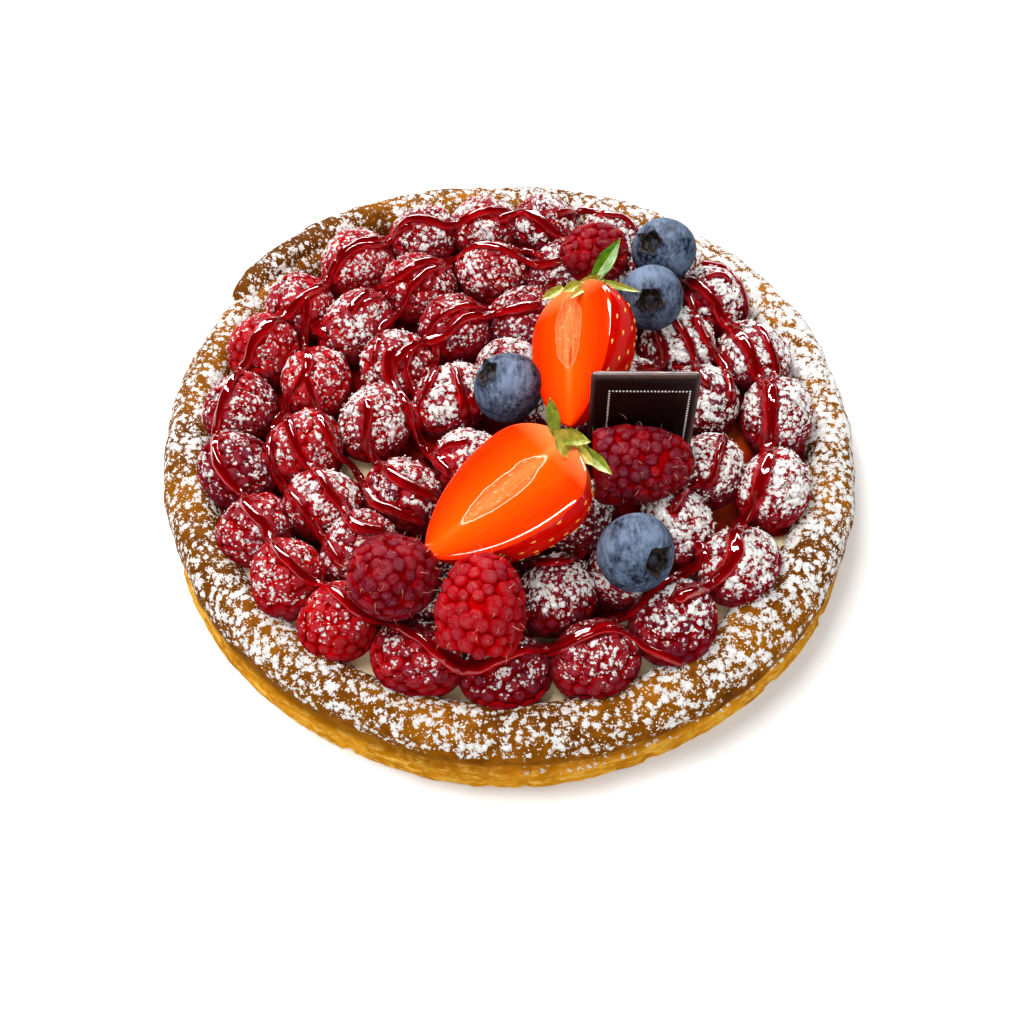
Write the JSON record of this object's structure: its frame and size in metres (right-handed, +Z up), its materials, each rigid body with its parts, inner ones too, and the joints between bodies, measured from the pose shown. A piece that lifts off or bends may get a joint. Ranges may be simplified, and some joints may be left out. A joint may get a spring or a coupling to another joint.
{
  "type": "berry custard tart",
  "caption": "Round baked tart with a thick rope rim of dough, filled with custard and covered with rings of raspberries, with strawberry halves, blueberries and a chocolate plaque on top.",
  "frame": {"origin": "middle of the tart's bounding box on the surface it rests on, at the underside of the bottom sheet of pastry", "axes": "+Z up; -Y points to the viewer in the usual picture and +X to the viewer's right; the lapped joint of the dough rope is at the back left"},
  "size_m": [0.1976, 0.2053, 0.0601],
  "materials": {
    "crust": "matte baked dough, lightly glazed",
    "custard": "smooth, slightly shiny custard",
    "raspberry": "soft satin berry skin",
    "strawberry": "glossy glazed cut fruit",
    "blueberry": "matt waxy bloom over dark skin",
    "chocolate": "smooth dark chocolate"
  },
  "bodies": {
    "root": {"crust": "crust", "custard": "custard", "raspberry_a01": "raspberry", "raspberry_a02": "raspberry", "raspberry_a03": "raspberry", "raspberry_a04": "raspberry", "raspberry_a05": "raspberry", "raspberry_a06": "raspberry", "raspberry_a07": "raspberry", "raspberry_a08": "raspberry", "raspberry_a09": "raspberry", "raspberry_a10": "raspberry", "raspberry_a11": "raspberry", "raspberry_a12": "raspberry", "raspberry_a13": "raspberry", "raspberry_a14": "raspberry", "raspberry_a15": "raspberry", "raspberry_a16": "raspberry", "raspberry_a17": "raspberry", "raspberry_a18": "raspberry", "raspberry_a19": "raspberry", "raspberry_a20": "raspberry", "raspberry_a21": "raspberry", "raspberry_a22": "raspberry", "raspberry_b01": "raspberry", "raspberry_b02": "raspberry", "raspberry_b03": "raspberry", "raspberry_b04": "raspberry", "raspberry_b05": "raspberry", "raspberry_b06": "raspberry", "raspberry_b07": "raspberry", "raspberry_b08": "raspberry", "raspberry_b09": "raspberry", "raspberry_b10": "raspberry", "raspberry_b11": "raspberry", "raspberry_b12": "raspberry", "raspberry_b13": "raspberry", "raspberry_b14": "raspberry", "raspberry_b15": "raspberry", "raspberry_b16": "raspberry", "raspberry_c01": "raspberry", "raspberry_c02": "raspberry", "raspberry_c03": "raspberry", "raspberry_c04": "raspberry", "raspberry_c05": "raspberry", "raspberry_c06": "raspberry", "raspberry_d01": "raspberry", "raspberry_d02": "raspberry", "raspberries_under": "raspberry", "raspberry_top_1": "raspberry", "raspberry_top_2": "raspberry", "raspberry_top_3": "raspberry", "raspberry_top_4": "raspberry", "blueberry_1": "blueberry", "blueberry_2": "blueberry", "blueberry_3": "blueberry", "blueberry_4": "blueberry", "strawberry_half_1": "strawberry", "strawberry_half_2": "strawberry", "chocolate_plaque": "chocolate"}
  },
  "joints": []
}
